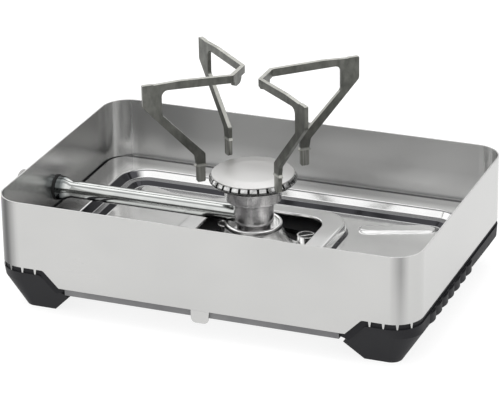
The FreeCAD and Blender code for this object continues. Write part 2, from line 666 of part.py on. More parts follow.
def end_piece():
    """Right-hand moulding: two feet, a grip band with finger ribs, and a tongue in the wall."""
    half_x = BOX_LENGTH / 2
    foot = front_foot()
    tongue = upright(box_rectangle(SHEET + 0.1), 20, 48.9).cut(upright(box_rectangle(SHEET + 2.8), 19, 50))
    tongue = tongue.common(across_y([(132.3, 26.5, 0), (140.0, 24.0, 1), (153.0, 37.0, 0), (half_x, 37.0, 0),
                                     (half_x, 48.9, 0), (151.0, 48.9, 0), (132.3, 31.5, 1)]))
    reach = -FOOT_SIDE_Y + 2
    band = across_y([(half_x - 10, BAND_Z, 1), (half_x, BAND_Z, 2), (half_x, BAND_TOP_Z, 0),
                     (half_x - 10, BAND_TOP_Z, 0)], -reach, reach)
    shelf = block((160.0, half_x - 8), (-reach, reach), (32.6, 35.6))
    rib_radius = ((RIB_PITCH / 2) ** 2 + RIB_HEIGHT ** 2) / (2 * RIB_HEIGHT)
    pieces = [foot, mirrored_y(foot), tongue, band, shelf]
    for i in range(RIB_COUNT):
        y = RIB_START_Y + RIB_PITCH * (i + 0.5)
        rib = cylinder(rib_radius, BAND_TOP_Z - BAND_Z - 1.2, V(half_x + RIB_HEIGHT - rib_radius, y, BAND_Z))
        pieces.append(rib.common(block((half_x - 1, half_x + 5), (y - RIB_PITCH / 2, y + RIB_PITCH / 2),
                                       (BAND_Z, BAND_TOP_Z))))
    body = joined(pieces)
    body = body.cut(tray_basin(TRAY_SHEET + 0.6, TRAY_SHEET + 0.6))
    for tooth in corner_teeth():
        body = body.cut(tooth).cut(mirrored_y(tooth))
    for x, y in end_screw_places():
        body = body.cut(cylinder(2.0 + FIT, 20, V(x, y, 25)))
    return body.removeSplitter()


def end_piece_screws():
    return Part.Compound([pan_head_screw(2.0, 3.8, 2.2, 6.0, V(x, y, 32.6)) for x, y in end_screw_places()])


def foot_pads():
    return Part.Compound(four_corners(pad_shape()))


# ---------------------------------------------------------------- export
right_end = end_piece()
right_support = pot_support()

NODES = {
    "outer_wall": outer_wall(),
    "front_catch": front_catch(),
    "bottom_pan": bottom_pan(),
    "drip_tray": drip_tray(),
    "burner_base_cone": burner_base_cone(),
    "cone_screws": cone_screws(),
    "support_sockets": support_sockets(),
    "burner_column": burner_column(),
    "column_nut": column_nut(),
    "burner_cup": burner_cup(),
    "flame_ring": flame_ring(),
    "burner_cap": burner_cap(),
    "mixing_tube": mixing_tube(),
    "tube_gasket": tube_gasket(),
    "injector_holder": injector_holder(),
    "injector_jet": injector_jet(),
    "valve_body": valve_body(),
    "packing_nut": packing_nut(),
    "valve_spindle": valve_spindle(),
    "control_knob": control_knob(),
    "knob_screw": knob_screw(),
    "inlet_stub": inlet_stub(),
    "pot_support_left": mirrored_x(right_support),
    "pot_support_right": right_support,
    "end_piece_left": turned_about_z(right_end, 180),
    "end_piece_right": right_end,
    "end_piece_screws": end_piece_screws(),
    "foot_pads": foot_pads(),
}

os.makedirs("parts", exist_ok=True)
for name, shape in NODES.items():
    shape.exportStep(os.path.join("parts", name + ".step"))
    box = shape.BoundBox
    print("%-18s valid %s solids %d volume %.0f  x %.1f..%.1f  y %.1f..%.1f  z %.1f..%.1f" % (
        name, shape.isValid(), len(shape.Solids), shape.Volume,
        box.XMin, box.XMax, box.YMin, box.YMax, box.ZMin, box.ZMax))
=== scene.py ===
"""Looks of the table-top stove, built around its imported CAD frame. Metres, +Z up, front at -Y."""

import json
import math

import bpy
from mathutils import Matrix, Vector


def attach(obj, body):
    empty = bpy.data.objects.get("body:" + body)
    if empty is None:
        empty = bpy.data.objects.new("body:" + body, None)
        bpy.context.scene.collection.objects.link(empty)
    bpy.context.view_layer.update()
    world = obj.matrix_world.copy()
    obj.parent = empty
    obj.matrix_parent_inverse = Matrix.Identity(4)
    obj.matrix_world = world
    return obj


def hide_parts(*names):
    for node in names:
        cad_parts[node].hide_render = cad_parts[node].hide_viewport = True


MM = 0.001

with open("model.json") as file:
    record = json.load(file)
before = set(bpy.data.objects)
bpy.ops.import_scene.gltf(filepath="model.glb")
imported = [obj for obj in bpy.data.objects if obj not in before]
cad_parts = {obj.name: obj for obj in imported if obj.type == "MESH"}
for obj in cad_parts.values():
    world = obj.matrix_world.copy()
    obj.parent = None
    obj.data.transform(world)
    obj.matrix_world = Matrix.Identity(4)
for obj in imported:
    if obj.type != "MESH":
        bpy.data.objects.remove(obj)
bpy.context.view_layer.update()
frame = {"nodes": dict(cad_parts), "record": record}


# ---------------------------------------------------------------- material helpers
class Surface:
    """A Principled material with short helpers for its procedural nodes."""

    def __init__(self, name, color, metallic, roughness, specular=0.5):
        self.material = bpy.data.materials.new(name)
        self.material.use_nodes = True
        self.nodes = self.material.node_tree.nodes
        self.links = self.material.node_tree.links
        self.shader = self.nodes["Principled BSDF"]
        self.shader.inputs["Base Color"].default_value = (*color, 1.0)
        self.shader.inputs["Metallic"].default_value = metallic
        self.shader.inputs["Roughness"].default_value = roughness
        self.shader.inputs["Specular IOR Level"].default_value = specular
        self.normal = None
        self.place = self.add("ShaderNodeTexCoord").outputs["Object"]

    def add(self, kind, **settings):
        node = self.nodes.new(kind)
        for key, value in settings.items():
            setattr(node, key, value)
        return node

    def noise(self, size_mm, detail=3.0, rough=0.55):
        """Noise whose features are about size_mm (x, y, z) long."""
        mapping = self.add("ShaderNodeMapping")
        mapping.inputs["Scale"].default_value = [1.0 / (s * MM) for s in size_mm]
        self.links.new(self.place, mapping.inputs["Vector"])
        texture = self.add("ShaderNodeTexNoise")
        texture.inputs["Scale"].default_value = 1.0
        texture.inputs["Detail"].default_value = detail
        texture.inputs["Roughness"].default_value = rough
        self.links.new(mapping.outputs["Vector"], texture.inputs["Vector"])
        return texture.outputs["Fac"]

    def remap(self, value, low, high, start=0.3, stop=0.7):
        """value from start..stop to low..high, clamped."""
        node = self.add("ShaderNodeMapRange")
        for key, number in zip(("From Min", "From Max", "To Min", "To Max"), (start, stop, low, high)):
            node.inputs[key].default_value = number
        self.links.new(value, node.inputs["Value"])
        return node.outputs["Result"]

    def rising(self, value, start, stop):
        """0 below start, 1 above stop."""
        return self.remap(value, 0.0, 1.0, start, stop)

    def falling(self, value, start, stop):
        """1 below start, 0 above stop."""
        return self.remap(value, 1.0, 0.0, start, stop)

    def math(self, operation, a, b=None):
        node = self.add("ShaderNodeMath", operation=operation)
        for socket, value in zip(node.inputs, (a, b)):
            if isinstance(value, (int, float)):
                socket.default_value = value
            elif value is not None:
                self.links.new(value, socket)
        return node.outputs["Value"]

    def times(self, first, *others):
        """Product of sockets and numbers."""
        for other in others:
            first = self.math("MULTIPLY", first, other)
        return first

    def most(self, first, *others):
        """The largest of several sockets."""
        for other in others:
            first = self.math("MAXIMUM", first, other)
        return first

    def blend(self, factor, first, second):
        """Colour between first and second; either may be a colour or a socket."""
        node = self.add("ShaderNodeMix", data_type="RGBA")
        sockets = {s.identifier: s for s in node.inputs}
        self.links.new(factor, sockets["Factor_Float"])
        for key, value in (("A_Color", first), ("B_Color", second)):
            if isinstance(value, (tuple, list)):
                sockets[key].default_value = (*value, 1.0)
            else:
                self.links.new(value, sockets[key])
        return [s for s in node.outputs if s.identifier == "Result_Color"][0]

    def mottle(self, noise, first, second):
        """Colour that wanders between two with a noise."""
        return self.blend(self.remap(noise, 0.0, 1.0), first, second)

    def color(self, socket):
        self.links.new(socket, self.shader.inputs["Base Color"])

    def roughness(self, socket):
        self.links.new(socket, self.shader.inputs["Roughness"])

    def round_edges(self, radius_mm):
        """Edges that catch light as if rounded, in shading only."""
        node = self.add("ShaderNodeBevel", samples=6)
        node.inputs["Radius"].default_value = radius_mm * MM
        self.normal = node.outputs["Normal"]
        self.links.new(self.normal, self.shader.inputs["Normal"])

    def bump(self, height, distance_mm, strength=1.0):
        node = self.add("ShaderNodeBump")
        node.inputs["Strength"].default_value = strength
        node.inputs["Distance"].default_value = distance_mm * MM
        self.links.new(height, node.inputs["Height"])
        if self.normal is not None:
            self.links.new(self.normal, node.inputs["Normal"])
        self.normal = node.outputs["Normal"]
        self.links.new(self.normal, self.shader.inputs["Normal"])

    def axis_of(self, vector, axis):
        split = self.add("ShaderNodeSeparateXYZ")
        self.links.new(vector, split.inputs["Vector"])
        return split.outputs[axis]

    def normal_axis(self, axis):
        return self.axis_of(self.add("ShaderNodeNewGeometry").outputs["Normal"], axis)

    def facing_up(self, start, stop):
        """0 on steep faces, 1 on faces that look up."""
        return self.rising(self.normal_axis("Z"), start, stop)

    def along(self, axis):
        """Place on an axis of the object, in metres."""
        return self.axis_of(self.place, axis)


# ---------------------------------------------------------------- materials
# The photograph's polished parts mirror a room that isn't here, so some tones are painted
# by height, place and normal.
BEND_X = 174.0 * MM          # where the wall's corner bends start
BEND_Y = 108.5 * MM
REAR_INSIDE = 133.2 * MM     # inner face of the rear wall


def rear_inside(s):
    """1 on the inner face of the rear wall."""
    rear = s.rising(s.along("Y"), REAR_INSIDE - 1.0 * MM, REAR_INSIDE)
    return s.times(rear, s.falling(s.normal_axis("Y"), -0.9, -0.5))


def corner_reflection_bands(s):
    """Strength of the painted dark reflections, upright bands on the wall's two front corner bends."""
    across = s.normal_axis("X")
    front = s.falling(s.along("Y"), -BEND_Y, -BEND_Y + 2.0 * MM)
    on_right = s.times(front, s.rising(s.along("X"), BEND_X - 8.0 * MM, BEND_X))
    on_left = s.times(front, s.falling(s.along("X"), -BEND_X, -BEND_X + 4.0 * MM))
    right_band = s.times(s.remap(across, 0.0, 0.52, 0.12, 0.46), s.falling(across, 0.50, 0.72),
                         s.remap(s.along("Z"), 0.5, 1.0, 50 * MM, 95 * MM))
    left_band = s.falling(across, -0.52, -0.06)
    outward = s.falling(s.normal_axis("Y"), 0.0, 0.15)
    return s.times(s.most(s.times(on_right, right_band), s.times(on_left, left_band)), outward)


def wall_steel():
    """Satin stainless sheet with a faint horizontal grain, painted reflections and a painted highlight
    along its top rim.
    """
    s = Surface("wall_steel", (0.55, 0.55, 0.545), 1.0, 0.24)
    grain = s.noise((40, 40, 0.3), 2)
    cloud = s.noise((90, 90, 60), 2)
    sheet = s.mottle(cloud, (0.505, 0.505, 0.498), (0.540, 0.538, 0.530))
    inside = rear_inside(s)
    # Painted reflection of the tray: the rear wall's inner face is lighter towards the bottom.
    tray_reflection = s.falling(s.along("Z"), 50 * MM, 78 * MM)
    sheet = s.blend(inside, sheet, s.blend(tray_reflection, (0.59, 0.59, 0.585), (0.86, 0.86, 0.85)))
    # Painted dark reflections in upright bands on the two front corner bends.
    sheet = s.blend(corner_reflection_bands(s), sheet, (0.10, 0.10, 0.10))
    # Painted highlight: a bright line along the wall's top rim.
    edge = s.times(s.facing_up(0.5, 0.8), s.rising(s.along("Z"), 107 * MM, 108.4 * MM))
    s.color(s.blend(edge, sheet, (0.93, 0.93, 0.92)))
    satin = s.math("ADD", s.remap(grain, 0.235, 0.245), s.remap(cloud, -0.03, 0.03))
    s.roughness(s.math("ADD", satin, s.times(inside, 0.12)))
    s.round_edges(0.35)
    s.bump(grain, 0.0005, 0.1)
    return s.material


def tray_masks(s):
    """Masks of painted shade on the tray's flange, of a painted dark reflection on the basin's middle
    ledge, and of painted shade and dark reflections on its slopes, crest and seam.
    """
    x, y = (s.math("ABSOLUTE", s.along(axis)) for axis in "XY")
    z = s.along("Z")

    def outside(half_x, half_y, soft=2.0, full=1.0):
        """full beyond a rectangle round the burner, in millimetres, and 0 inside it."""
        return s.most(s.remap(x, 0.0, full, half_x * MM, (half_x + soft) * MM),
                      s.remap(y, 0.0, full, half_y * MM, (half_y + soft) * MM))

    def between(low, high, soft=0.2):
        """1 between two heights in millimetres."""
        return s.times(s.rising(z, (low - soft) * MM, (low + soft) * MM),
                       s.falling(z, (high - soft) * MM, (high + soft) * MM))

    flange = s.rising(z, 49.9 * MM, 50.1 * MM)
    basin = outside(147, 82, 4.0)
    steep = s.math("SUBTRACT", 1.0, s.facing_up(0.76, 0.96))
    pressed = s.most(basin, s.math("SUBTRACT", 1.0, outside(78, 75, 4.0, 0.6)))
    # Painted dark reflections on the foot of the slopes, the basin's steep ends and along its crest;
    # painted shade in the seam along the wall.
    foot = s.times(steep, pressed, s.falling(z, 43.0 * MM, 43.6 * MM))
    ends = s.times(s.rising(s.math("ABSOLUTE", s.normal_axis("X")), 0.30, 0.50), basin)
    crest = s.times(basin, between(48.7, 49.6), 0.85)
    seam = s.times(flange, outside(196.4, 127.6, 0.8))
    return (s.times(flange, outside(172, 106, 12.0, 0.8)), s.times(basin, between(42.9, 44.0)),
            s.most(foot, ends, crest, seam))


def tray_steel():
    """Pressed and polished stainless sheet, slightly uneven, with painted shade and dark reflections on
    its flange, ledge and slopes.
    """
    s = Surface("tray_steel", (0.78, 0.78, 0.775), 0.84, 0.12)
    grain = s.noise((45, 0.5, 45), 3)
    waves = s.noise((55, 38, 60), 1.5, 0.4)
    haze = s.noise((30, 30, 30), 3)
    sheet = s.mottle(haze, (0.76, 0.76, 0.755), (0.82, 0.82, 0.815))
    flange_shade, ledge, marks = tray_masks(s)
    # Painted shade over the flange.
    sheet = s.blend(flange_shade, sheet, (0.33, 0.33, 0.33))
    # Painted dark reflection on the basin's middle ledge.
    sheet = s.blend(ledge, sheet, (0.30, 0.30, 0.305))
    # The marks are painted shade and dark reflections.
    s.color(s.blend(marks, sheet, (0.045, 0.045, 0.05)))
    s.roughness(s.math("ADD", s.remap(haze, 0.09, 0.14), s.remap(grain, -0.01, 0.015)))
    s.bump(waves, 0.3, 0.1)
    s.bump(grain, 0.002, 0.2)
    return s.material


def pan_paint():
    """Dark paint with dust on it."""
    s = Surface("pan_paint", (0.10, 0.10, 0.105), 0.0, 0.5)
    speckle = s.noise((0.8, 0.8, 0.8), 2)
    dust = s.noise((35, 35, 35), 3)
    s.color(s.mottle(dust, (0.12, 0.12, 0.125), (0.18, 0.18, 0.182)))
    s.roughness(s.remap(dust, 0.42, 0.58))
    s.round_edges(0.4)
    s.bump(speckle, 0.05, 0.3)
    return s.material


def chrome():
    """Bright but satin, with broad soft unevenness."""
    s = Surface("chrome", (0.84, 0.84, 0.835), 1.0, 0.07)
    haze = s.noise((12, 12, 12), 3)
    s.color(s.mottle(haze, (0.80, 0.80, 0.795), (0.86, 0.86, 0.855)))
    s.roughness(s.remap(haze, 0.16, 0.24))
    s.round_edges(0.3)
    s.bump(s.noise((26, 14, 14), 1.5), 0.05, 0.1)
    return s.material


BELL_END = -191.0 * MM       # the blued bell fades into the plain tube between these
BELL_START = -187.0 * MM


def tube_steel():
    """Drawn tube with a painted dark reflection line near its top and painted shade on its underside;
    the bell is blued.
    """
    s = Surface("tube_steel", (0.42, 0.43, 0.42), 1.0, 0.14)
    drawn = s.noise((70, 0.8, 0.8), 3)
    haze = s.noise((16, 10, 10), 3)
    plain = s.mottle(haze, (0.56, 0.575, 0.565), (0.66, 0.675, 0.66))
    # Painted dark reflection: a thin line near the top; painted shade on faces that look down.
    line = s.times(s.facing_up(0.66, 0.72), s.facing_up(0.85, 0.79), 0.7)
    shaded = s.blend(line, plain, (0.05, 0.05, 0.05))
    shaded = s.blend(s.facing_up(-0.30, -0.55), shaded, (0.05, 0.052, 0.05))
    bell = s.times(s.falling(s.along("X"), BELL_END, BELL_START), 0.85)
    s.color(s.blend(bell, shaded, (0.10, 0.112, 0.115)))
    s.roughness(s.math("ADD", s.remap(haze, 0.08, 0.14), s.remap(drawn, -0.01, 0.02)))
    s.round_edges(0.3)
    s.bump(drawn, 0.004, 0.25)
    return s.material


IMAGE_RIGHT_X = 0.93         # the level direction to the right in the camera's view
IMAGE_RIGHT_Y = 0.37


def machined_steel():
    """Turned steel, with painted shade on its sides as the camera sees them."""
    s = Surface("machined_steel", (0.42, 0.42, 0.42), 1.0, 0.3)
    turning = s.noise((14, 14, 0.25), 2)
    streak = s.noise((3.2, 3.2, 60), 2, 0.6)
    # Painted shade on the sides that face left and right in the camera's view.
    side = s.math("ADD", s.times(s.normal_axis("X"), IMAGE_RIGHT_X),
                  s.times(s.normal_axis("Y"), IMAGE_RIGHT_Y))
    dark = s.most(s.times(s.rising(side, -0.95, -0.80), s.falling(side, -0.50, -0.15)),
                  s.rising(side, 0.35, 0.95))
    steel = s.mottle(streak, (0.66, 0.65, 0.655), (0.92, 0.91, 0.91))
    upright = s.math("SUBTRACT", 1.0, s.facing_up(0.3, 0.6))
    s.color(s.blend(s.times(dark, upright, 0.8), steel, (0.16, 0.155, 0.16)))
    s.roughness(s.remap(turning, 0.18, 0.26))
    s.round_edges(0.35)
    s.bump(turning, 0.008, 0.3)
    return s.material


def ring_iron():
    """Cast ring with soot: lighter teeth above, painted shade on its lower part."""
    s = Surface("ring_iron", (0.30, 0.30, 0.31), 1.0, 0.24)
    grain = s.noise((1.2, 1.2, 1.2), 3)
    soot = s.noise((10, 10, 6), 3)
    # Painted shade: below 104 mm the ring is dark; the teeth above keep their sooty grey.
    teeth = s.rising(s.along("Z"), 104.0 * MM, 105.0 * MM)
    sooty_teeth = s.mottle(soot, (0.30, 0.30, 0.30), (0.88, 0.88, 0.87))
    s.color(s.blend(teeth, (0.16, 0.16, 0.16), sooty_teeth))
    s.roughness(s.remap(grain, 0.18, 0.30))
    s.round_edges(0.3)
    s.bump(grain, 0.05, 0.3)
    return s.material


TURNING_PITCH = 0.35 * MM    # of the cap's circular marks
CAP_LIGHT_END = -26.0 * MM   # the cap's painted highlight is strongest up to here, and gone from CAP_PLAIN_START
CAP_PLAIN_START = 14.0 * MM


def cap_steel():
    """Spun cap with circular turning marks and a painted highlight towards its front."""
    s = Surface("cap_steel", (0.72, 0.715, 0.705), 1.0, 0.26)
    radius = s.add("ShaderNodeVectorMath", operation="LENGTH")
    flat = s.add("ShaderNodeMapping")
    flat.inputs["Scale"].default_value = (1.0, 1.0, 0.0)
    s.links.new(s.place, flat.inputs["Vector"])
    s.links.new(flat.outputs["Vector"], radius.inputs[0])
    rings = s.add("ShaderNodeTexNoise", noise_dimensions="1D")
    rings.inputs["Scale"].default_value = 1.0
    rings.inputs["Detail"].default_value = 3.0
    s.links.new(s.times(radius.outputs["Value"], 1.0 / TURNING_PITCH), rings.inputs["W"])
    cloud = s.noise((22, 22, 22), 2)
    # Painted highlight towards the cap's front.
    front_highlight = s.falling(s.along("Y"), CAP_LIGHT_END, CAP_PLAIN_START)
    spun = s.mottle(cloud, (0.545, 0.54, 0.53), (0.565, 0.56, 0.55))
    s.color(s.blend(front_highlight, spun, (0.80, 0.795, 0.785)))
    s.roughness(s.math("ADD", s.remap(rings.outputs["Fac"], 0.41, 0.43), s.remap(cloud, -0.01, 0.01)))
    s.round_edges(0.4)
    s.bump(rings.outputs["Fac"], 0.001, 0.06)
    return s.material


EAR_LOW = 123.9 * MM         # the painted highlight on the ears over the pins, at rest
EAR_HIGH = 127.2 * MM


def support_enamel():
    """Grey mill-finish plate, lighter in patches on faces that look up, with a painted highlight on the
    ears over its pins.
    """
    s = Surface("support_enamel", (0.13, 0.13, 0.12), 0.75, 0.38)
    grain = s.noise((1.3, 1.3, 2.6), 4)
    patches = s.noise((7, 7, 12), 3)
    dark = s.mottle(patches, (0.080, 0.082, 0.074), (0.150, 0.152, 0.138))
    lighter_grey = s.mottle(grain, (0.60, 0.60, 0.56), (0.74, 0.74, 0.69))
    low = s.rising(s.along("Z"), EAR_LOW, EAR_LOW + 0.4 * MM)
    high = s.falling(s.along("Z"), EAR_HIGH - 1.6 * MM, EAR_HIGH)
    # Lighter in patches on faces that look up; a painted highlight in a band over the pins' ears.
    lighter_tops_and_ears = s.most(s.times(s.facing_up(0.55, 0.8), s.remap(patches, 0.8, 1.0)), s.times(low, high, 0.45))
    streak = s.noise((1.6, 1.6, 30), 2)
    pin = s.falling(s.along("Z"), EAR_LOW, EAR_HIGH)
    plate = s.blend(s.times(pin, s.remap(streak, 0.15, 0.75)), dark, (0.42, 0.42, 0.39))
    s.color(s.blend(lighter_tops_and_ears, plate, lighter_grey))
    s.roughness(s.remap(grain, 0.30, 0.44))
    s.round_edges(0.45)
    s.bump(grain, 0.04, 0.35)
    return s.material


def black_plastic():
    """Moulded plastic with a fine spark-eroded texture."""
    s = Surface("black_plastic", (0.010, 0.010, 0.012), 0.0, 0.6, 0.18)
    grain = s.noise((0.7, 0.7, 0.7), 3)
    rub = s.noise((24, 24, 24), 3)
    s.color(s.mottle(rub, (0.008, 0.008, 0.010), (0.015, 0.015, 0.017)))
    s.roughness(s.math("ADD", s.remap(rub, 0.48, 0.60), s.remap(grain, -0.03, 0.03)))
    s.round_edges(0.7)
    s.bump(grain, 0.05, 0.4)
    return s.material


def rubber():
    """Dull black rubber of the foot pads."""
    s = Surface("rubber", (0.018, 0.018, 0.018), 0.0, 0.75)
    grain = s.noise((0.9, 0.9, 0.9), 3)
    s.color(s.mottle(grain, (0.014, 0.014, 0.014), (0.024, 0.024, 0.024)))
    s.roughness(s.remap(grain, 0.68, 0.82))
    s.round_edges(0.3)
    s.bump(grain, 0.06, 0.4)
    return s.material


def brass():
    """Turned brass with a little tarnish."""
    s = Surface("brass", (0.70, 0.53, 0.25), 1.0, 0.26)
    turning = s.noise((0.25, 8, 8), 3)
    tarnish = s.noise((7, 7, 7), 3)
    s.color(s.mottle(tarnish, (0.62, 0.46, 0.21), (0.74, 0.58, 0.29)))
    s.roughness(s.remap(turning, 0.2, 0.34))
    s.round_edges(0.25)
    s.bump(turning, 0.02, 0.3)
    return s.material


def knob_metal():
    """Turned grey metal."""
    s = Surface("knob_metal", (0.36, 0.36, 0.355), 1.0, 0.28)
    turning = s.noise((0.3, 10, 10), 3)
    s.color(s.mottle(turning, (0.32, 0.32, 0.315), (0.42, 0.42, 0.415)))
    s.roughness(s.remap(turning, 0.2, 0.3))
    s.round_edges(0.35)
    s.bump(turning, 0.015, 0.3)
    return s.material


def screw_steel():
    """Plain bright steel of screws and nuts."""
    s = Surface("screw_steel", (0.56, 0.56, 0.55), 1.0, 0.3)
    haze = s.noise((2.5, 2.5, 2.5), 3)
    s.color(s.mottle(haze, (0.50, 0.50, 0.48), (0.62, 0.62, 0.60)))
    s.roughness(s.remap(haze, 0.24, 0.38))
    s.round_edges(0.2)
    s.bump(haze, 0.02, 0.3)
    return s.material


MAKERS = (wall_steel, tray_steel, pan_paint, chrome, tube_steel, machined_steel, ring_iron, cap_steel,
          support_enamel, black_plastic, rubber, brass, knob_metal, screw_steel)
materials = {make.__name__: make() for make in MAKERS}


def paint_frame():
    """Give every CAD node the material of its slot."""
    for part in frame["record"]["subparts"]:
        for slot in frame["nodes"][part["node"]].material_slots:
            slot.material = materials[part["material_slot"]]
    for slot in frame["nodes"]["mixing_tube"].material_slots:
        slot.material = materials["tube_steel"]


# ---------------------------------------------------------------- drip tray
TRAY_TOP = 50.2             # the sizes below are in millimetres
TRAY_FLOOR = 38.7
TRAY_SHEET = 0.8
FLANGE = (198.8, 133.3, 24.8)                       # half length, half width, corner radius
BASIN_RIM = (174.0, 110.0, 30.0)
ISLAND_FOOT = (76.0, 72.2, 32.0)
OPENING = (54.0, 52.0, 21.0)
LIP = 2.6
ARC_STEPS = 26
LONG_STEPS = 150
SHORT_STEPS = 96
FLOOR_ROWS = 72
RIB_START = (80.5, 60.0)    # inner end of each rib, from the burner's axis
RIB_ANGLE = 20.0
RIB_LENGTH = 74.0
RIB_HALF = 9.0
RIB_HEIGHT = 2.3
RIB_SLOPE = 3.6
RIB_FOOT = 0.6              # the slope starts this far outside RIB_HALF
SMALLEST_CORNER = 0.6
FLANGE_ROWS = 7
ISLAND_TOP_ROWS = 5
TRAY_DEPTH = TRAY_TOP - TRAY_FLOOR
# Profiles of (inset, height, fillet radius) corners; heights count from TRAY_TOP, and the
# island's from TRAY_FLOOR
FLANGE_PROFILE = [(0.9, -2.6, 0), (0.9, 0, 1.0), (3.0, 0, 0)]
BASIN_PROFILE = [(0, 0, 0), (3.0, 0, 4.2), (8.8, -6.3, 1.7), (14.8, -6.8, 1.3),
                 (18.4, -TRAY_DEPTH, 2.0), (23.5, -TRAY_DEPTH, 0)]
ISLAND_PROFILE = [(-3.0, 0, 0), (0.6, 0, 2.2), (4.0, TRAY_DEPTH, 2.6), (8.5, TRAY_DEPTH, 0)]
LIP_PROFILE = [(-1.0, 0, 0), (0, 0, 0.9), (0, -LIP, 0)]


def smoothstep(t):
    """0 to 1 with level ends."""
    t = min(max(t, 0.0), 1.0)
    return t * t * (3 - 2 * t)


def ring(size, inset=0.0):
    """Points round a rounded rectangle, the same number for every size."""
    half_x, half_y, radius = (size[0] - inset, size[1] - inset, max(size[2] - inset, SMALLEST_CORNER))
    signs = ((1, 1), (-1, 1), (-1, -1), (1, -1))
    points = []
    for quarter, (sx, sy) in enumerate(signs):
        centre = Vector((sx * (half_x - radius), sy * (half_y - radius)))
        for i in range(ARC_STEPS + 1):
            angle = math.radians(90.0 * (quarter + i / ARC_STEPS))
            points.append(centre + radius * Vector((math.cos(angle), math.sin(angle))))
        steps = LONG_STEPS if quarter % 2 == 0 else SHORT_STEPS
        nx, ny = signs[(quarter + 1) % 4]
        start = points[-1].copy()
        angle = math.radians(90.0 * (quarter + 1))
        stop = Vector((nx * (half_x - radius), ny * (half_y - radius)))
        stop += radius * Vector((math.cos(angle), math.sin(angle)))
        points += [start.lerp(stop, i / steps) for i in range(1, steps)]
    return points


def filleted(corners, steps=7):
    """Dense polyline through (inset, height, radius) corners, with an arc at each radius."""
    line = []
    for i, (u, w, radius) in enumerate(corners):
        here = Vector((u, w))
        if radius <= 0:
            line.append(here)
            continue
        before = (Vector(corners[i - 1][:2]) - here).normalized()
        after = (Vector(corners[i + 1][:2]) - here).normalized()
        half = before.angle(after) / 2
        reach = radius / math.tan(half)
        centre = here + (before + after).normalized() * (radius / math.sin(half))
        a, b = here + before * reach - centre, here + after * reach - centre
        turn = a.angle_signed(b)
        for k in range(steps + 1):
            angle = -turn * k / steps
            line.append(centre + Vector((a.x * math.cos(angle) - a.y * math.sin(angle),
                                         a.x * math.sin(angle) + a.y * math.cos(angle))))
    return line


def rib_height(point):
    """Height of the pressed ribs over the tray's floor; one rib in each quarter."""
    along = Vector((math.cos(math.radians(RIB_ANGLE)), math.sin(math.radians(RIB_ANGLE))))
    offset = Vector((abs(point.x), abs(point.y))) - Vector(RIB_START)
    run = min(max(offset.dot(along), RIB_HALF), RIB_LENGTH - RIB_HALF)
    distance = (offset - along * run).length
    return RIB_HEIGHT * smoothstep((RIB_HALF + RIB_FOOT - distance) / RIB_SLOPE)


def tray_rows():
    """Rings of points from the flange's edge to the lip of the opening."""
    def level(points, z):
        return [Vector((p.x, p.y, z)) for p in points]

    rows = []
    for inset, drop in filleted(FLANGE_PROFILE, 5):
        rows.append(level(ring(FLANGE, inset), TRAY_TOP + drop))
    outer, rim = ring(FLANGE, FLANGE_PROFILE[-1][0]), ring(BASIN_RIM)
    for k in range(1, FLANGE_ROWS):
        rows.append(level([a.lerp(b, k / FLANGE_ROWS) for a, b in zip(outer, rim)], TRAY_TOP))
    for inset, drop in filleted(BASIN_PROFILE):
        rows.append(level(ring(BASIN_RIM, inset), TRAY_TOP + drop))
    island_rows = [level(ring(ISLAND_FOOT, inset), TRAY_FLOOR + rise)
                   for inset, rise in filleted(ISLAND_PROFILE)]
    start, stop = rows[-1], island_rows[0]
    for k in range(1, FLOOR_ROWS):
        row = [a.lerp(b, k / FLOOR_ROWS) for a, b in zip(start, stop)]
        rows.append([Vector((p.x, p.y, TRAY_FLOOR + rib_height(p))) for p in row])
    rows += island_rows
    edge = level(ring(OPENING, LIP_PROFILE[0][0]), TRAY_TOP)
    top = rows[-1]
    for k in range(1, ISLAND_TOP_ROWS):
        rows.append([a.lerp(b, k / ISLAND_TOP_ROWS) for a, b in zip(top, edge)])
    for inset, drop in filleted(LIP_PROFILE, 5):
        rows.append(level(ring(OPENING, inset), TRAY_TOP + drop))
    return rows


def sheet_from_rows(name, rows, thickness_mm):
    """Closed thin sheet whose outer face runs through the rings of points."""
    count = len(rows[0])
    vertices = [p * MM for row in rows for p in row]
    faces = []
    for j in range(len(rows) - 1):
        for i in range(count):
            a, b = j * count + i, j * count + (i + 1) % count
            faces.append((a, b, b + count, a + count))
    mesh = bpy.data.meshes.new(name)
    mesh.from_pydata(vertices, [], faces)
    mesh.shade_smooth()
    piece = bpy.data.objects.new(name, mesh)
    bpy.context.scene.collection.objects.link(piece)
    solid = piece.modifiers.new("sheet", "SOLIDIFY")
    solid.thickness = thickness_mm * MM
    solid.offset = -1.0
    solid.use_even_offset = True
    return piece


def build_tray():
    tray = sheet_from_rows("pressed_drip_tray", tray_rows(), TRAY_SHEET)
    tray.data.materials.append(materials["tray_steel"])
    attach(tray, "root")
    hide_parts("drip_tray")


# ---------------------------------------------------------------- burner cup
CUP_STEPS = 128
CUP_SHEET = 1.0              # millimetres
CUP_BORE = 15.2              # radii, in millimetres
CUP_SIDE = 26.6
CUP_RIM = 29.6
CUP_BOTTOM = 84.6            # heights, in millimetres
CUP_FLARE = 97.2
CUP_TOP = 101.8
# (radius, height, fillet radius) corners from the bore to the rim
CUP_PROFILE = [(CUP_BORE, CUP_BOTTOM, 0), (CUP_SIDE, CUP_BOTTOM, 1.2), (CUP_SIDE, CUP_FLARE, 2.0),
               (CUP_RIM, CUP_TOP - 1.6, 1.0), (CUP_RIM, CUP_TOP, 0)]


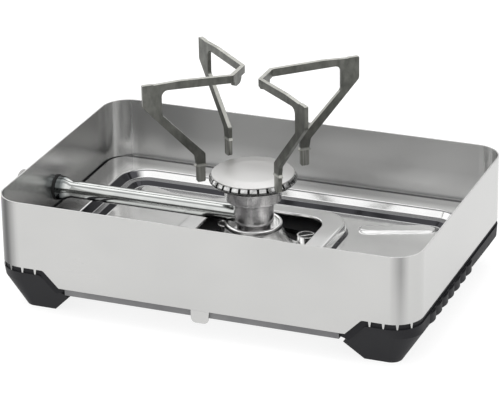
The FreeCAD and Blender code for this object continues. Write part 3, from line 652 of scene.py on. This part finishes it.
def build_cup():
    """Straight-sided cup that flares out under the flame ring."""
    angles = [math.tau * i / CUP_STEPS for i in range(CUP_STEPS)]
    rows = [[Vector((radius * math.cos(a), radius * math.sin(a), z)) for a in angles]
            for radius, z in filleted(CUP_PROFILE)]
    cup = sheet_from_rows("spun_burner_cup", rows, CUP_SHEET)
    cup.data.materials.append(materials["machined_steel"])
    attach(cup, "root")
    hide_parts("burner_cup")


# ---------------------------------------------------------------- studio
FLOOR_HALF = 6.0
FLOOR_COLOR = (0.26, 0.26, 0.26)
FLOOR_GLOW = 0.84


def build_floor():
    """Bright paper under the stove; its own glow keeps it white in the render."""
    mesh = bpy.data.meshes.new("studio_floor")
    corners = [(sx * FLOOR_HALF, sy * FLOOR_HALF, 0) for sx, sy in ((-1, -1), (1, -1), (1, 1), (-1, 1))]
    mesh.from_pydata(corners, [], [(0, 1, 2, 3)])
    floor = bpy.data.objects.new("studio_floor", mesh)
    bpy.context.scene.collection.objects.link(floor)
    surface = Surface("studio_floor", FLOOR_COLOR, 0.0, 0.95, 0.05)
    surface.shader.inputs["Emission Color"].default_value = (1.0, 1.0, 1.0, 1.0)
    surface.shader.inputs["Emission Strength"].default_value = FLOOR_GLOW
    mesh.materials.append(surface.material)


def ramp_node(nodes, stops):
    """Colour ramp through (place, brightness) stops."""
    node = nodes.new("ShaderNodeValToRGB")
    elements = node.color_ramp.elements
    while len(elements) < len(stops):
        elements.new(0.5)
    for element, (place, value) in zip(elements, stops):
        element.position = place
        element.color = (value, value, value, 1.0)
    return node


SKY_STRENGTH = 1.6
# (place, brightness) from the back horizon (0) over the top (0.5) to the front horizon (1)
SKY = [(0.00, 0.05), (0.09, 0.12), (0.14, 0.44), (0.22, 0.95), (0.32, 0.95), (0.340, 0.06),
       (0.380, 0.06), (0.40, 1.00), (0.58, 1.00), (0.66, 0.72), (0.90, 0.66), (1.00, 0.50)]
# A black flag low behind the stove, on the right: where its edges fade, by direction
FLAG_DARKNESS = 0.90
FLAG_LEFT = (0.05, 0.28)
FLAG_NEAR = (0.2, 0.5)
FLAG_TOP = (0.45, 0.75)


def build_world():
    """Soft banks over the stove, with a dark flag low behind it."""
    world = bpy.data.worlds.new("studio")
    bpy.context.scene.world = world
    world.use_nodes = True
    nodes, links = world.node_tree.nodes, world.node_tree.links

    def calculate(operation, a, b):
        node = nodes.new("ShaderNodeMath")
        node.operation = operation
        for socket, value in zip(node.inputs, (a, b)):
            if isinstance(value, (int, float)):
                socket.default_value = value
            else:
                links.new(value, socket)
        return node.outputs["Value"]

    def fade(value, start, stop):
        node = nodes.new("ShaderNodeMapRange")
        node.inputs["From Min"].default_value = start
        node.inputs["From Max"].default_value = stop
        links.new(value, node.inputs["Value"])
        return node.outputs["Result"]

    place = nodes.new("ShaderNodeTexCoord")
    split = nodes.new("ShaderNodeSeparateXYZ")
    links.new(place.outputs["Generated"], split.inputs["Vector"])
    x, y, z = (split.outputs[axis] for axis in "XYZ")
    ramp = ramp_node(nodes, SKY)
    turn = calculate("MULTIPLY", calculate("ARCTAN2", z, y), 1 / math.pi)
    links.new(turn, ramp.inputs["Fac"])
    flag = calculate("MULTIPLY", fade(x, *FLAG_LEFT), fade(y, *FLAG_NEAR))
    flag = calculate("MULTIPLY", flag, calculate("SUBTRACT", 1.0, fade(z, *FLAG_TOP)))
    kept = calculate("SUBTRACT", 1.0, calculate("MULTIPLY", flag, FLAG_DARKNESS))
    background = nodes["Background"]
    links.new(ramp.outputs["Color"], background.inputs["Color"])
    links.new(calculate("MULTIPLY", kept, SKY_STRENGTH), background.inputs["Strength"])


SOFTBOX_PLACE = (-0.5, -0.2, 2.2)
SOFTBOX_TARGET = (0, 0, 0.05)
SOFTBOX_SIZE = (2.4, 1.8)
SOFTBOX_POWER = 8.0          # watts


def add_area_light(name, place, target, size, power):
    """Rectangular light at place, turned to face target."""
    lamp = bpy.data.lights.new(name, "AREA")
    lamp.shape = "RECTANGLE"
    lamp.size, lamp.size_y = size
    lamp.energy = power
    obj = bpy.data.objects.new(name, lamp)
    bpy.context.scene.collection.objects.link(obj)
    obj.location = place
    obj.rotation_euler = (Vector(target) - Vector(place)).to_track_quat("-Z", "Y").to_euler()
    return obj


def build_lights():
    overhead = add_area_light("overhead_softbox", SOFTBOX_PLACE, SOFTBOX_TARGET, SOFTBOX_SIZE,
                              SOFTBOX_POWER)
    overhead.visible_glossy = False


CAMERA_AZIMUTH = 21.852      # degrees; 0 looks along +Y
CAMERA_ELEVATION = 23.283
CAMERA_ROLL = -0.902
CAMERA_DISTANCE = 2.5229
CAMERA_TARGET = Vector((0.0, 0.0, 0.0687))
CAMERA_SLIDE = Vector((-0.0034, 0.0122))     # the camera stands this far right of and above its target
CAMERA_LENS = 197.6          # millimetres
CAMERA_SENSOR = 36.0


def build_camera():
    """Camera fitted to the photograph."""
    a, e, r = (math.radians(v) for v in (CAMERA_AZIMUTH, CAMERA_ELEVATION, CAMERA_ROLL))
    back = Vector((math.sin(a) * math.cos(e), -math.cos(a) * math.cos(e), math.sin(e)))
    level = Vector((math.cos(a), math.sin(a), 0.0))
    over = back.cross(level)
    right = level * math.cos(r) + over * math.sin(r)
    up = over * math.cos(r) - level * math.sin(r)
    lens = bpy.data.cameras.new("camera")
    lens.lens = CAMERA_LENS
    lens.sensor_width = CAMERA_SENSOR
    lens.clip_end = 50.0
    camera = bpy.data.objects.new("camera", lens)
    bpy.context.scene.collection.objects.link(camera)
    place = CAMERA_TARGET + right * CAMERA_SLIDE.x + up * CAMERA_SLIDE.y + back * CAMERA_DISTANCE
    matrix = camera.matrix_world.copy()
    for column, axis in enumerate((right, up, back, place)):
        for row in range(3):
            matrix[row][column] = axis[row]
    camera.matrix_world = matrix
    bpy.context.scene.camera = camera


# ---------------------------------------------------------------- build
paint_frame()
build_tray()
build_cup()
build_floor()
build_world()
build_lights()
build_camera()
bpy.context.scene.view_settings.view_transform = "Standard"
